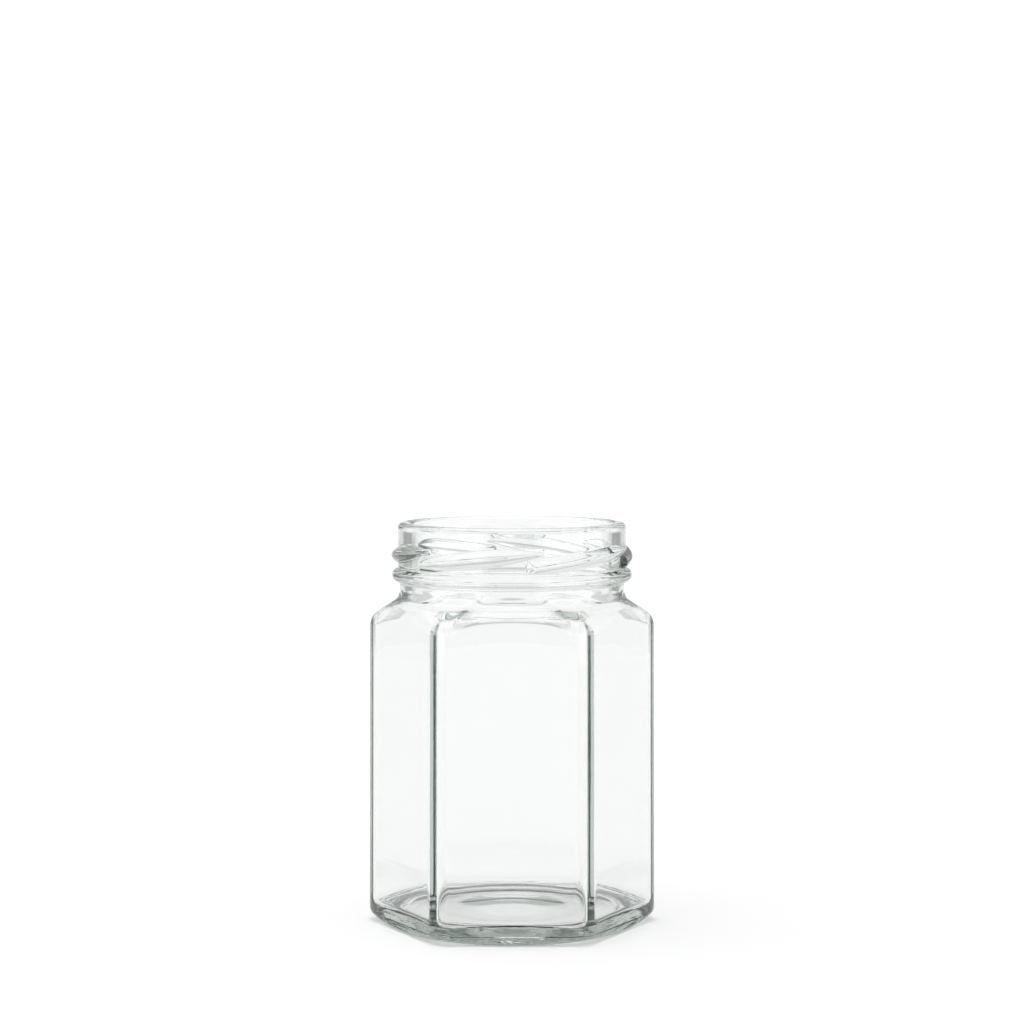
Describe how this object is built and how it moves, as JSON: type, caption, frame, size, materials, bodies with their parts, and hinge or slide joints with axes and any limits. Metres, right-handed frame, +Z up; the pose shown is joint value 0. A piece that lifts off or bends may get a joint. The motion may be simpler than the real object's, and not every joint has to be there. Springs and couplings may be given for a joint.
{
  "type": "hexagonal glass jar",
  "caption": "Empty clear glass jar with a six-sided body, sloping shoulder, wide round neck with a slanting screw thread and a bead, and a thick base.",
  "frame": {"origin": "middle of the ring that the jar stands on, at the floor", "axes": "+Z up along the jar's axis; -Y is the normal of one flat face, the one towards the viewer; +X to the viewer's right, through a corner"},
  "size_m": [0.0726, 0.0648, 0.1017],
  "materials": {
    "glass": "clear, glossy, with a faint green-grey tint in the thick edges"
  },
  "bodies": {
    "root": {"jar": "glass"}
  },
  "joints": []
}
